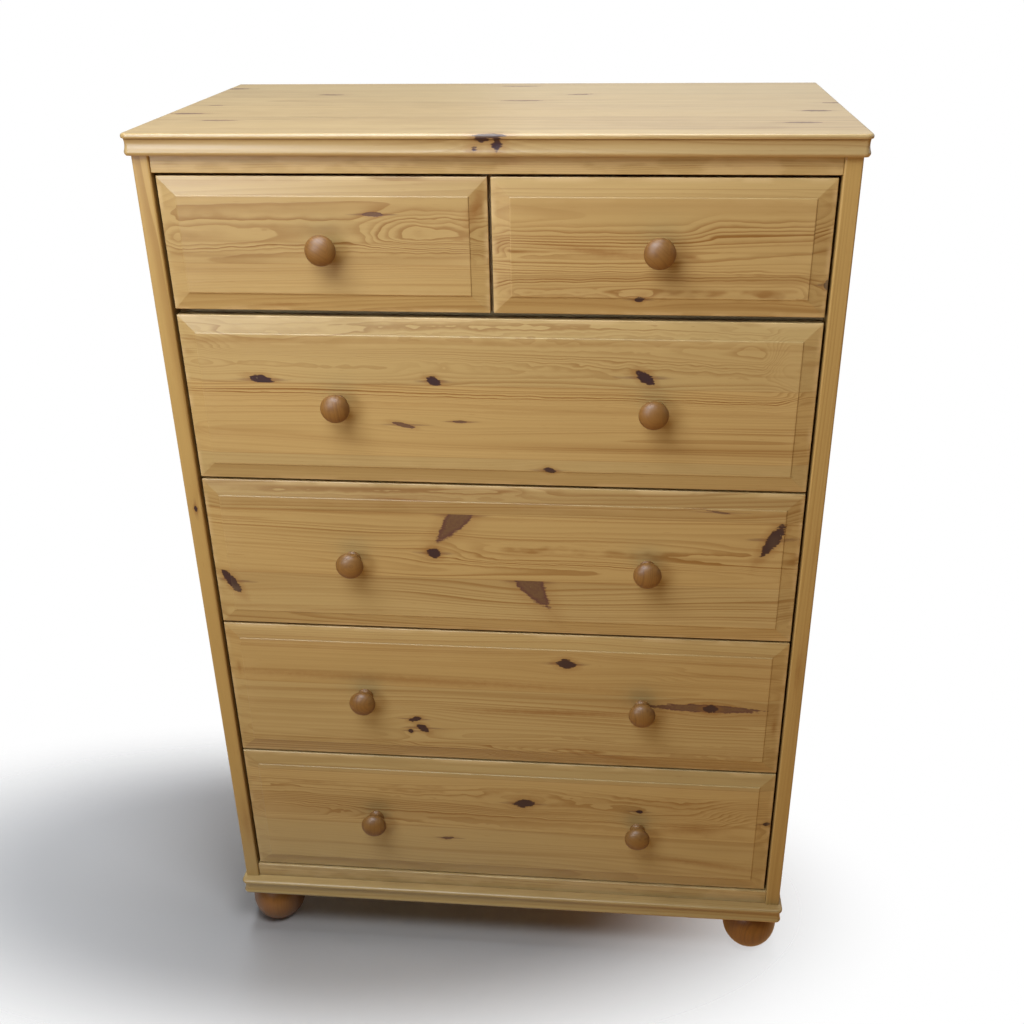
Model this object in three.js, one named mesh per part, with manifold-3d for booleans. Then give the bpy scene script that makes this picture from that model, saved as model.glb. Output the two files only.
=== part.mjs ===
// A tall chest of drawers in solid pine: two short drawers over four long ones, a moulded top and
// base board, round turned knobs and bun feet. Every drawer is a box that slides on wooden strips.
//
// Millimetres, +Z up. The front faces -Y, and +X is to the right of someone facing the front.
// Inside this file, y = 0 is the plane of the side panels' front edges and z = 0 is the floor; the
// group at the end is moved in y so that its origin is the middle of the part's footprint.
import * as THREE from 'three';
import { mergeVertices } from 'three/addons/utils/BufferGeometryUtils.js';
import Module from 'manifold-3d';

const wasm = await Module();
wasm.setup();

// ---- Driving dimensions -------------------------------------------------------------------------

const CHEST = { width: 854, depth: 449, height: 1276 };   // over the side panels; floor to top
const SIDE = { thickness: 21, arris: 2.5 };
const TOP = { width: 870, thickness: 26, frontOverhang: 9 };
const BASE = { width: 864, thickness: 27, frontOverhang: 13 };
const FOOT = { radius: 42, height: 78, soleRadius: 21, x: 388, fromFront: 34, fromRear: 44 };
const FOOT_BOLT = { radius: 4, above: 17, below: 32, holeClearance: 0.4 };

// The sectional shape of the moulded edges, as insets from the outermost line of the board.
const MOULDING = { crown: 4, lip: 5.5, quirk: 2.6, hollow: 3.3, bead: 1.6, beadHeight: 5 };
const CORNER_RADIUS = 9;          // the boards' two front corners, seen from above

const ROW = { width: 805, longHeight: 227.5, shortHeight: 165.5, lowest: 131.5, gap: 3.5 };
const SHORT_ROW_GAP = 7.5;       // between the top long drawer and the short ones
const SHORT_PAIR_GAP = 4;        // between the two short fronts
const LONG_DRAWERS = 4;

const FRONT = { thickness: 20, bevelWidth: 22, bevelDepth: 4.2, step: 1 };
const KNOB = { x: 202, radius: 19, length: 33, flange: 11, neck: 8.2, screwRadius: 2.5 };

const BOX = {
  wall: 15,                      // drawer sides and back
  sideClearance: 4,              // drawer side to the panel beside it
  depthBehindFront: 387,
  longSide: 185,
  shortSide: 130,
  liftLong: 10,                  // front's lower edge up to the drawer side's lower edge
  liftShort: 12,
  backInset: 5,                  // drawer back in from the sides' rear ends
  backDrop: 8,                   // drawer back below the sides' upper edges
};
const PLY = { thickness: 5, grooveDepth: 6, aboveEdge: 8, slack: 0.3 };
const RUNNER = { height: 16, width: 11, slack: 0.5, grooveDepth: 8, frontGap: 0.5 };

const RAIL = { thickness: 17, setback: 3, gap: 3.5, bottomGap: 3 };
const CROSS_RAIL = { thickness: 20, depth: 45, fromFront: 30, below: 3 };
const DIVIDER = { thickness: 18, frontGap: 0.5 };
const REAR_RAIL = { height: 45, thickness: 18, inFrontOfPanel: 2 };
const BACK = { thickness: 3.5, grooveWidth: 4.2, grooveDepth: 6, fromRear: 14, slack: 0.5 };

// Flats round each turned piece, and steps along each curve of an outline.
const FACETS = { knob: 16, foot: 20, bolt: 12, screwHole: 8 };
const STEPS = { knob: 2, foot: 4, moulding: 4, arris: 3, corner: 4 };
const PINE = { honey: 0xd3a058, pale: 0xdcb678, turned: 0xa9692f, hardboard: 0x8f6b45 };
const STEEL = 0x9a9c9e;

// ---- Derived places -----------------------------------------------------------------------------

const baseTop = FOOT.height + BASE.thickness;
const topUnderside = CHEST.height - TOP.thickness;
const innerHalf = CHEST.width / 2 - SIDE.thickness;
const shortRowBottom = ROW.lowest + LONG_DRAWERS * ROW.longHeight
  + (LONG_DRAWERS - 1) * ROW.gap + SHORT_ROW_GAP;
const crossRailTop = shortRowBottom - CROSS_RAIL.below;
const backPanelFront = CHEST.depth - BACK.fromRear;
const rearRailRear = backPanelFront - REAR_RAIL.inFrontOfPanel;
const rearRailFront = rearRailRear - REAR_RAIL.thickness;
const boxRear = FRONT.thickness + BOX.depthBehindFront;
const runnerFront = FRONT.thickness + RUNNER.frontGap;
const runnerRear = rearRailFront - RUNNER.frontGap;

// ---- Materials ----------------------------------------------------------------------------------

function material(color, roughness, metalness = 0) {
  return new THREE.MeshStandardMaterial({ color, roughness, metalness, flatShading: true });
}
const honeyPine = material(PINE.honey, 0.42);
const palePine = material(PINE.pale, 0.6);
const turnedPine = material(PINE.turned, 0.35);
const hardboard = material(PINE.hardboard, 0.8);
const steel = material(STEEL, 0.35, 0.9);

// ---- Solids: joining and cutting ----------------------------------------------------------------

function solid(geometry) {
  const bare = geometry.clone();
  bare.deleteAttribute('normal');
  bare.deleteAttribute('uv');
  const welded = mergeVertices(bare, 1e-4);
  const vertProperties = Float32Array.from(welded.attributes.position.array);
  const triVerts = Uint32Array.from(welded.index.array);
  return new wasm.Manifold(new wasm.Mesh({ numProp: 3, vertProperties, triVerts }));
}

function geometryOf(shape) {
  const mesh = shape.getMesh();
  const geometry = new THREE.BufferGeometry();
  geometry.setAttribute('position', new THREE.BufferAttribute(mesh.vertProperties, 3));
  geometry.setIndex(new THREE.BufferAttribute(mesh.triVerts, 1));
  geometry.computeVertexNormals();
  return geometry;
}

// A block from its ranges in x, y and z.
function block([x0, x1], [y0, y1], [z0, z1]) {
  const geometry = new THREE.BoxGeometry(x1 - x0, y1 - y0, z1 - z0);
  return geometry.translate((x0 + x1) / 2, (y0 + y1) / 2, (z0 + z1) / 2);
}

// An outline drawn in (across, up) and carried straight along one axis from start to end.
function prism(outline, axis, start, end) {
  const shape = new THREE.Shape(outline.map(([across, up]) => new THREE.Vector2(across, up)));
  const geometry = new THREE.ExtrudeGeometry(shape, { depth: end - start, bevelEnabled: false });
  geometry.translate(0, 0, start);
  const basis = new THREE.Matrix4();
  const [x, y, z] = [new THREE.Vector3(1, 0, 0), new THREE.Vector3(0, 1, 0), new THREE.Vector3(0, 0, 1)];
  if (axis === 'x') basis.makeBasis(y, z, x);                    // outline is (y, z)
  if (axis === 'y') basis.makeBasis(x, z, y.clone().negate());   // outline is (x, z)
  if (axis === 'y') geometry.translate(0, 0, -(start + end));
  if (axis === 'z') basis.makeBasis(x, y, z);                    // outline is (x, y)
  return geometry.applyMatrix4(basis);
}

// A cylinder about a vertical axis, or about one that points along Y.
function rod(radius, length, facets, centre, alongY = false) {
  const geometry = new THREE.CylinderGeometry(radius, radius, length, facets);
  if (!alongY) geometry.rotateX(Math.PI / 2);
  return geometry.translate(...centre);
}

// ---- The chest as a list of named pieces --------------------------------------------------------

const chest = new THREE.Group();

function place(name, geometry, look, parent = chest) {
  const mesh = new THREE.Mesh(geometry, look);
  mesh.name = name;
  parent.add(mesh);
  return mesh;
}

// ---- Moulded boards: the top and the base -------------------------------------------------------

// The edge's section as points (inset, height), from the upper arris down: a rounded crown and lip,
// a small quirk, a shallow hollow and a bead. The hollow's control point lies as far in again as its
// deepest point does.
function mouldingSection(thickness) {
  const quirkHeight = thickness - MOULDING.lip - 1;
  const { bead, beadHeight } = MOULDING;
  const hollowControl = 2 * MOULDING.hollow - (MOULDING.quirk + bead) / 2;
  const path = new THREE.Path();
  path.moveTo(MOULDING.crown, thickness);
  path.quadraticCurveTo(0, thickness, 0, thickness - MOULDING.crown);
  path.lineTo(0.4, thickness - MOULDING.lip);
  path.lineTo(MOULDING.quirk, quirkHeight);
  path.quadraticCurveTo(hollowControl, (quirkHeight + beadHeight) / 2, bead, beadHeight);
  path.quadraticCurveTo(bead - 0.6, beadHeight / 2, MOULDING.hollow, 0);
  return path.getPoints(STEPS.moulding).map((point) => [point.x, point.y]);
}

// A board's outline from above, with its two front corners rounded.
function boardOutline(half, front, rear) {
  const outline = new THREE.Path();
  const across = half - CORNER_RADIUS;
  const back = front + CORNER_RADIUS;
  outline.moveTo(-half, rear);
  outline.lineTo(-half, back);
  outline.absarc(-across, back, CORNER_RADIUS, Math.PI, 1.5 * Math.PI, false);
  outline.lineTo(across, front);
  outline.absarc(across, back, CORNER_RADIUS, 1.5 * Math.PI, 2 * Math.PI, false);
  outline.lineTo(half, rear);
  return outline.getPoints(STEPS.corner).map((point) => [point.x, point.y]);
}

// The moulding runs along the front and both ends; the rear edge is square.
function mouldedBoard(width, front, rear, bottom, thickness) {
  const edge = mouldingSection(thickness);
  const half = width / 2;
  const leftToRight = [
    ...edge.map(([inset, height]) => [-half + inset, bottom + height]),
    ...edge.map(([inset, height]) => [half - inset, bottom + height]).reverse(),
  ];
  const frontToBack = [
    ...edge.map(([inset, height]) => [front + inset, bottom + height]),
    [rear, bottom],
    [rear, bottom + thickness],
  ];
  const across = solid(prism(leftToRight, 'y', front, rear));
  const along = solid(prism(frontToBack, 'x', -half, half));
  const above = solid(prism(boardOutline(half, front, rear), 'z', bottom, bottom + thickness));
  return across.intersect(along).intersect(above);
}

const footPlaces = [];
for (const [end, y] of [['front', FOOT.fromFront], ['rear', CHEST.depth - FOOT.fromRear]]) {
  for (const [side, sign] of [['left', -1], ['right', 1]]) {
    footPlaces.push({ name: `${end}_${side}`, x: sign * FOOT.x, y });
  }
}

function addBoards() {
  const top = mouldedBoard(TOP.width, -TOP.frontOverhang, CHEST.depth, topUnderside, TOP.thickness);
  place('top_panel', geometryOf(top), honeyPine);

  let base = mouldedBoard(BASE.width, -BASE.frontOverhang, CHEST.depth, FOOT.height, BASE.thickness);
  const holeRadius = FOOT_BOLT.radius + FOOT_BOLT.holeClearance;
  const holeDepth = FOOT_BOLT.above + 1;
  for (const { x, y } of footPlaces) {
    const centre = [x, y, FOOT.height + holeDepth / 2 - 0.5];
    base = base.subtract(solid(rod(holeRadius, holeDepth + 1, FACETS.bolt, centre)));
  }
  place('base_board', geometryOf(base), honeyPine);
}

// ---- Feet: turned buns on a bolt ----------------------------------------------------------------

function addFeet() {
  const centreHeight = FOOT.height / 2;
  const flat = Math.asin(FOOT.soleRadius / FOOT.radius);
  const tall = centreHeight / Math.cos(flat);
  const holeRadius = FOOT_BOLT.radius + FOOT_BOLT.holeClearance;
  const holeFloor = FOOT.height - FOOT_BOLT.below - 1;

  const profile = new THREE.Path();
  profile.moveTo(0, 0);
  profile.lineTo(FOOT.soleRadius / 2, 0);
  profile.absellipse(0, centreHeight, FOOT.radius, tall, flat - Math.PI / 2, Math.PI / 2 - flat, false);
  profile.lineTo(holeRadius, FOOT.height);
  profile.lineTo(holeRadius, holeFloor);
  profile.lineTo(0, holeFloor);
  const foot = new THREE.LatheGeometry(profile.getPoints(STEPS.foot), FACETS.foot);
  foot.rotateX(Math.PI / 2);

  const length = FOOT_BOLT.above + FOOT_BOLT.below;
  for (const { name, x, y } of footPlaces) {
    place(`foot_${name}`, foot, turnedPine).position.set(x, y, 0);
    const bolt = rod(FOOT_BOLT.radius, length, FACETS.bolt, [0, 0, FOOT_BOLT.above - length / 2]);
    place(`foot_bolt_${name}`, bolt, steel).position.set(x, y, FOOT.height);
  }
}

// ---- Drawer places ------------------------------------------------------------------------------

// Each drawer's front in x and z, its box in x, the box's lower edge and height, and its knobs.
function drawerPlaces() {
  const places = [];
  const shortInner = SHORT_PAIR_GAP / 2;
  const boxInner = DIVIDER.thickness / 2 + BOX.sideClearance;
  const boxOuter = innerHalf - BOX.sideClearance;
  for (const [name, sign] of [['short_drawer_left', -1], ['short_drawer_right', 1]]) {
    const ordered = (near, far) => [sign * near, sign * far].sort((a, b) => a - b);
    places.push({
      name,
      x: ordered(shortInner, ROW.width / 2),
      z: [shortRowBottom, shortRowBottom + ROW.shortHeight],
      box: ordered(boxInner, boxOuter),
      boxBottom: shortRowBottom + BOX.liftShort,
      boxHeight: BOX.shortSide,
      knobs: [{ name: 'knob', x: sign * KNOB.x }],
    });
  }
  for (let number = 1; number <= LONG_DRAWERS; number += 1) {
    const bottom = ROW.lowest + (LONG_DRAWERS - number) * (ROW.longHeight + ROW.gap);
    places.push({
      name: `long_drawer_${number}`,
      x: [-ROW.width / 2, ROW.width / 2],
      z: [bottom, bottom + ROW.longHeight],
      box: [-boxOuter, boxOuter],
      boxBottom: bottom + BOX.liftLong,
      boxHeight: BOX.longSide,
      knobs: [{ name: 'left_knob', x: -KNOB.x }, { name: 'right_knob', x: KNOB.x }],
    });
  }
  return places;
}
const drawers = drawerPlaces();

// The middle height of the strip that a drawer slides on.
const runnerMiddle = (drawer) => drawer.boxBottom + drawer.boxHeight / 2;

// ---- Carcass ------------------------------------------------------------------------------------

// A side panel with rounded front arrises, the groove for the back panel, and the runner strips that
// are glued and screwed to its inner face. sign is -1 for the left panel and 1 for the right one.
function sidePanel(sign) {
  const outer = CHEST.width / 2;
  const grooveFloor = innerHalf + BACK.grooveDepth;
  const outline = new THREE.Path();
  outline.moveTo(innerHalf, SIDE.arris);
  outline.quadraticCurveTo(innerHalf, 0, innerHalf + SIDE.arris, 0);
  outline.lineTo(outer - SIDE.arris, 0);
  outline.quadraticCurveTo(outer, 0, outer, SIDE.arris);
  outline.lineTo(outer, CHEST.depth);
  outline.lineTo(innerHalf, CHEST.depth);
  outline.lineTo(innerHalf, backPanelFront + BACK.grooveWidth);
  outline.lineTo(grooveFloor, backPanelFront + BACK.grooveWidth);
  outline.lineTo(grooveFloor, backPanelFront);
  outline.lineTo(innerHalf, backPanelFront);
  const points = outline.getPoints(STEPS.arris).map((point) => [sign * point.x, point.y]);
  let panel = solid(prism(points, 'z', baseTop, topUnderside));

  for (const drawer of drawers) {
    const reachesThisSide = Math.max(sign * drawer.box[0], sign * drawer.box[1]) > innerHalf / 2;
    if (reachesThisSide) panel = panel.add(runner(drawer, sign * innerHalf, -sign));
  }
  return panel;
}

// One runner strip, standing out from the face at x in the direction that outward points.
function runner(drawer, x, outward) {
  const middle = runnerMiddle(drawer);
  const xs = [x, x + outward * RUNNER.width].sort((a, b) => a - b);
  return solid(block(xs, [runnerFront, runnerRear], [middle - RUNNER.height / 2, middle + RUNNER.height / 2]));
}

function centreDivider() {
  const half = DIVIDER.thickness / 2;
  const front = FRONT.thickness + DIVIDER.frontGap;
  let divider = solid(block([-half, half], [front, runnerRear], [crossRailTop, topUnderside]));
  for (const drawer of drawers.filter(({ name }) => name.startsWith('short'))) {
    const outward = Math.sign(drawer.box[0] + drawer.box[1]);
    divider = divider.add(runner(drawer, outward * half, outward));
  }
  return divider;
}

function addCarcass() {
  const inside = [-innerHalf, innerHalf];
  const railDepth = [RAIL.setback, RAIL.setback + RAIL.thickness];
  const shortRowTop = shortRowBottom + ROW.shortHeight;
  const crossRailZ = [crossRailTop - CROSS_RAIL.thickness, crossRailTop];
  const crossRailFront = [CROSS_RAIL.fromFront, CROSS_RAIL.fromFront + CROSS_RAIL.depth];
  const crossRailRear = [runnerRear - CROSS_RAIL.depth, runnerRear];
  const rearRail = [rearRailFront, rearRailRear];

  place('left_side_panel', geometryOf(sidePanel(-1)), honeyPine);
  place('right_side_panel', geometryOf(sidePanel(1)), honeyPine);
  place('frieze_rail', block(inside, railDepth, [shortRowTop + RAIL.gap, topUnderside]), honeyPine);
  place('bottom_rail', block(inside, railDepth, [baseTop, ROW.lowest - RAIL.bottomGap]), honeyPine);
  place('centre_divider', geometryOf(centreDivider()), palePine);
  place('cross_rail_front', block(inside, crossRailFront, crossRailZ), palePine);
  place('cross_rail_rear', block(inside, crossRailRear, crossRailZ), palePine);
  place('rear_top_rail', block(inside, rearRail, [topUnderside - REAR_RAIL.height, topUnderside]), palePine);
  place('rear_bottom_rail', block(inside, rearRail, [baseTop, baseTop + REAR_RAIL.height]), palePine);

  const panelHalf = innerHalf + BACK.grooveDepth - BACK.slack;
  const panelY = [backPanelFront + BACK.slack / 2, backPanelFront + BACK.slack / 2 + BACK.thickness];
  place('back_panel', block([-panelHalf, panelHalf], panelY, [baseTop, topUnderside]), hardboard);
}

// ---- Drawers ------------------------------------------------------------------------------------

// A raised and fielded front: a flat field, a small step, and a bevel that falls away to the edges
// and is mitred at the corners. The groove for the bottom and the knob screws' holes are cut in it.
function drawerFront({ x, z, box, boxBottom, knobs }) {
  const section = ([low, high]) => [
    [low, FRONT.thickness],
    [low, FRONT.step + FRONT.bevelDepth],
    [low + FRONT.bevelWidth, FRONT.step],
    [low + FRONT.bevelWidth, 0],
    [high - FRONT.bevelWidth, 0],
    [high - FRONT.bevelWidth, FRONT.step],
    [high, FRONT.step + FRONT.bevelDepth],
    [high, FRONT.thickness],
  ];
  const plan = section(x);
  const upright = section(z).map(([height, y]) => [y, height]);
  let front = solid(prism(plan, 'z', ...z)).intersect(solid(prism(upright, 'x', ...x)));

  const grooveX = [box[0] + BOX.wall - PLY.grooveDepth, box[1] - BOX.wall + PLY.grooveDepth];
  const grooveY = [FRONT.thickness - PLY.grooveDepth, FRONT.thickness + 1];
  front = front.subtract(solid(block(grooveX, grooveY, plyGroove(boxBottom))));
  for (const knob of knobs) {
    const centre = [knob.x, FRONT.thickness / 2, (z[0] + z[1]) / 2];
    const hole = rod(KNOB.screwRadius, FRONT.thickness + 2, FACETS.screwHole, centre, true);
    front = front.subtract(solid(hole));
  }
  return front;
}

// The height range of the groove that holds a drawer's plywood bottom.
function plyGroove(boxBottom) {
  const bottom = boxBottom + PLY.aboveEdge;
  return [bottom, bottom + PLY.thickness + PLY.slack];
}

// A drawer side: the runner's groove is in its outer face and the bottom's groove in its inner one.
function drawerSide(drawer, outerX, inward) {
  const innerX = outerX + inward * BOX.wall;
  const [plyLow, plyHigh] = plyGroove(drawer.boxBottom);
  const bottom = drawer.boxBottom;
  const top = bottom + drawer.boxHeight;
  const runnerHalf = RUNNER.height / 2 + RUNNER.slack;
  const middle = runnerMiddle(drawer);
  const outline = [
    [outerX, bottom],
    [innerX, bottom],
    [innerX, plyLow],
    [innerX - inward * PLY.grooveDepth, plyLow],
    [innerX - inward * PLY.grooveDepth, plyHigh],
    [innerX, plyHigh],
    [innerX, top],
    [outerX, top],
    [outerX, middle + runnerHalf],
    [outerX + inward * RUNNER.grooveDepth, middle + runnerHalf],
    [outerX + inward * RUNNER.grooveDepth, middle - runnerHalf],
    [outerX, middle - runnerHalf],
  ];
  return prism(outline, 'y', FRONT.thickness, boxRear);
}

// The knob's profile as a lathe outline: a flange, a waisted neck and a domed mushroom head.
function knobGeometry() {
  const headMiddle = KNOB.length * 0.64;
  const domeLength = KNOB.length - headMiddle;
  const profile = new THREE.Path();
  profile.moveTo(0, 0);
  profile.lineTo(KNOB.flange, 0);
  profile.lineTo(KNOB.flange + 0.4, 1.6);
  profile.lineTo(KNOB.flange - 1, 3);
  profile.quadraticCurveTo(KNOB.neck - 1.2, KNOB.length * 0.24, KNOB.flange - 0.8, KNOB.length * 0.36);
  profile.absellipse(0, headMiddle, KNOB.radius, domeLength * 0.92, -0.87, 0, false);
  profile.absellipse(0, headMiddle, KNOB.radius, domeLength, 0, Math.PI / 2, false);
  const points = profile.getPoints(STEPS.knob);
  points[points.length - 1].set(0, KNOB.length);
  return new THREE.LatheGeometry(points, FACETS.knob).rotateX(Math.PI);
}

function addDrawer(drawer) {
  const { name, box, z, boxBottom, boxHeight } = drawer;
  const [, plyHigh] = plyGroove(boxBottom);
  const plyLow = boxBottom + PLY.aboveEdge + PLY.slack / 2;
  const insideX = [box[0] + BOX.wall, box[1] - BOX.wall];
  const plyReach = PLY.grooveDepth - PLY.slack;
  const plyX = [insideX[0] - plyReach, insideX[1] + plyReach];
  const plyY = [FRONT.thickness - plyReach, boxRear - PLY.slack];
  const backY = [boxRear - BOX.backInset - BOX.wall, boxRear - BOX.backInset];

  place(`${name}_front`, geometryOf(drawerFront(drawer)), honeyPine);
  place(`${name}_left_side`, drawerSide(drawer, box[0], 1), palePine);
  place(`${name}_right_side`, drawerSide(drawer, box[1], -1), palePine);
  place(`${name}_back`, block(insideX, backY, [plyHigh, boxBottom + boxHeight - BOX.backDrop]), palePine);
  place(`${name}_bottom`, block(plyX, plyY, [plyLow, plyLow + PLY.thickness]), palePine);
  for (const knob of drawer.knobs) {
    const mesh = place(`${name}_${knob.name}`, knobShape, turnedPine);
    mesh.position.set(knob.x, 0, (z[0] + z[1]) / 2);
  }
}

const knobShape = knobGeometry();

addBoards();
addFeet();
addCarcass();
drawers.forEach(addDrawer);

// The origin is the middle of the whole part's footprint, knobs included.
chest.position.y = (KNOB.length - CHEST.depth) / 2;

export default chest;
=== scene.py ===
"""A tall pine chest of drawers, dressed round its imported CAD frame.

Metres, +Z up, and the front faces -Y. Every piece is built in the frame's own coordinates, so its
Object texture coordinates are the places of the real boards and each board has grain of its own.
"""

import math
import random
from collections import namedtuple
from functools import partial

import bmesh
import bpy
from mathutils import Matrix, Quaternion, Vector


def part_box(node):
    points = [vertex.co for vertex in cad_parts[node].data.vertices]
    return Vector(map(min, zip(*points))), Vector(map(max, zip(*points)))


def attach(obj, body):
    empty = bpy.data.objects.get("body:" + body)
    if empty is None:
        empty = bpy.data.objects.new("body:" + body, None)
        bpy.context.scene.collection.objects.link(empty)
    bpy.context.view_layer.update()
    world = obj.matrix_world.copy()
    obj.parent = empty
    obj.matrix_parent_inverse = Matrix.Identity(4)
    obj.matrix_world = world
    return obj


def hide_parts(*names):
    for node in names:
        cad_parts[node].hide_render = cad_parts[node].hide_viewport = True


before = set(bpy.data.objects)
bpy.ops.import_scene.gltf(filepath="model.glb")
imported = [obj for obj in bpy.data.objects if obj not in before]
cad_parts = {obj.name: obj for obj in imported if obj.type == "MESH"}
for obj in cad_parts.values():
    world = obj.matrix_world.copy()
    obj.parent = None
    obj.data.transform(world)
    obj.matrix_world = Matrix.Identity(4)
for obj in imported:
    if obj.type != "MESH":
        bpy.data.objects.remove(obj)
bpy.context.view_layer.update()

# ---- Sizes, in metres ----

MM = 0.001


def in_metres(**sizes):
    """Sizes that are given in millimetres, by name."""
    return {label: size * MM for label, size in sizes.items()}


SIDE_THICKNESS = 21 * MM
SIDE_ARRIS = 2.5 * MM
BACK_GROOVE = in_metres(from_rear=14, width=4.2, depth=6)
DIVIDER_THICKNESS = 18 * MM
RUNNER = in_metres(height=16, width=11, screw_inset=55)
MOULDING = in_metres(crown=4, lip=5.5, quirk=2.6, hollow=3.3, bead=1.6, bead_height=5)
FRONT = in_metres(bevel_width=22, bevel_depth=4.2, step=1, arris=1.1, field_arris=2, corner=0.7)
PLY_GROOVE = in_metres(depth=6, slack=0.15)
KNOB = in_metres(radius=19, length=33, flange=11, neck=7.8)
KNOB_WIDEST = 0.64          # where a knob's head is widest, as a share of its length
KNOB_HOLE_RADIUS = 2.5 * MM
KNOB_GRAIN_OFFSET = Vector((10 * MM, 0, 20 * MM))  # knobs are turned from off the middle of a stave
FOOT = in_metres(radius=42, height=78, sole=21, hole=4.4, hole_depth=33)
BOLT_HOLE_DEPTH = 18 * MM
CORNER = 9 * MM             # radius of the front corners of moulded boards, seen from above
BOARD_ARRIS = 1.0 * MM      # softening of sawn boards inside the chest
SHEET_ARRIS = 0.4 * MM      # softening of plywood and hardboard
STAVE_WIDTH = 100 * MM      # the boards are glued up from staves this wide
OVERSHOOT = 1 * MM          # how far a cutter starts before the face that it goes in by

TURNED_SEGMENTS = 72
SCREW_SEGMENTS = 20
BACK_PINS_PER_RAIL = 6
SMOOTH_ANGLE = math.radians(40)

SHORT_DRAWERS = ("short_drawer_left", "short_drawer_right")
LONG_DRAWERS = tuple(f"long_drawer_{number}" for number in (1, 2, 3, 4))
DRAWERS = SHORT_DRAWERS + LONG_DRAWERS

# ---- Knots and swirls in the boards that show ----

def knot(kind, u, v, length, height, turn, w=0, depth=1000):
    """A knot, given in millimetres and degrees, as its kind and what its node group takes.

    Its place is measured from the middle of its board: u along the grain, v across it and w into it.
    Length, height and depth are its half sizes, and most knots go right through their board."""
    sizes = in_metres(U=u, V=v, W=w, Length=length, Height=height, Depth=depth)
    return kind, {**sizes, "Turn": math.radians(turn)}


def swirl(u, v, length, height, rings):
    """A place, in millimetres, where the yearly rings bulge round a branch below the surface.

    It is blunt at one end. The other lies towards +u, or towards -u if the length is negative."""
    return {**in_metres(U=u, V=v, Length=length, Height=height), "Rings": rings}


dead = partial(knot, "Dead")
live = partial(knot, "Live")
stain = partial(knot, "Stain")    # a resin streak

KNOTS = {
    "short_drawer_left": [
        live(63, 39, 12, 3, 0), stain(186, 46, 30, 9, 68), stain(166, 10, 14, 2, 0),
        stain(-60, -75, 35, 3, 0),
    ],
    "short_drawer_right": [
        dead(-22, -62, 6, 4, 12), dead(199, -42, 4, 6, 0), stain(-70, -4, 45, 4, -6),
        stain(38, -10, 12, 3, -12),
    ],
    "long_drawer_1": [
        dead(-300, 30, 17, 6, -12), dead(-77, 32, 10, 6, -25), dead(190, 42, 14, 7, -35),
        dead(70, -89, 9, 4, -8), live(-120, -29, 15, 3, -14), live(-45, -23, 9, 2, 0),
    ],
    "long_drawer_2": [
        live(-50, 72.5, 58, 16, 52), dead(-88, 12, 10, 8, -20), live(41, -27.5, 53, 18, -57),
        dead(366, 48, 30, 9, 62), dead(-380, -43, 22, 8, -56), stain(12, 109, 19, 2.5, -5),
        live(294, 87, 17, 1.5, -8), stain(-137, 93, 30, 2, -2),
    ],
    "long_drawer_3": [
        dead(-130, -40, 10, 4, 18), dead(-120, -56, 11, 6, -35), dead(-138, -62, 4, 4, 0),
        dead(299, 1, 11, 7, 0), live(292, 1, 80, 7, 0), dead(93, 69, 14, 8, -6),
        stain(-150, 30, 260, 7, -1), stain(90, -17, 130, 5, 1), stain(100, -86, 22, 3, -28),
        stain(132, -90, 26, 3, -24), stain(175, -97, 45, 4, -6), stain(-388, 37, 5, 12, 0),
        stain(392, -30, 4, 14, 0),
    ],
    "long_drawer_4": [
        dead(29, 40, 17, 9, 5), dead(205, 35, 6, 3, 0), live(-91, -37, 10, 3, 6),
        stain(300, -62, 100, 6, -7), stain(290, 5, 45, 10, 0), dead(396, 20, 6, 4, 0),
    ],
    "top_panel": [
        dead(-6, -232, 12, 12, 0, 6, 6), dead(-15, -232, 10, 8, 0, -3, 5),
        dead(4, -232, 24, 12, 0, 11, 3), dead(12, -232, 11, 12, 0, 1, 11), live(-420, 175, 18, 6, 0),
        live(-393, 0, 10, 4, 0), live(-406, -72, 24, 5, 0), live(-347, -129, 22, 4, 0),
        live(-260, 106, 18, 6, 0), live(2, 199, 28, 7, 0), live(17, 42, 28, 5, 0),
        live(85, 100, 26, 7, 22), live(426, 18, 14, 5, 0), live(395, -52, 18, 6, 0),
        live(367, -146, 24, 5, 0),
    ],
    "base_board": [stain(-290, -200, 30, 20, 0)],
    "left_side_panel": [
        dead(128, -222, 12, 12, 0, 8, 3), dead(100, -222, 6, 12, 0, -4, 3),
        stain(-460, -220, 50, 20, 0, -2, 7), live(-250, -100, 16, 9, 8), dead(300, 60, 14, 10, -6),
        live(-20, 150, 18, 10, 0), dead(-420, 30, 10, 7, 4), live(450, -60, 12, 8, 0),
    ],
    "right_side_panel": [
        dead(70, -222, 8, 10, 0, -9, 2), stain(-130, -222, 40, 10, 0, 6, 5), live(220, -50, 15, 9, -8),
        dead(-330, 110, 13, 9, 5), live(-80, 40, 17, 11, 0), live(410, 140, 12, 8, 10),
        dead(-480, -90, 10, 7, 0),
    ],
    "frieze_rail": [stain(28, 0, 16, 7, 0)],
    "bottom_rail": [],
}

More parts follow.
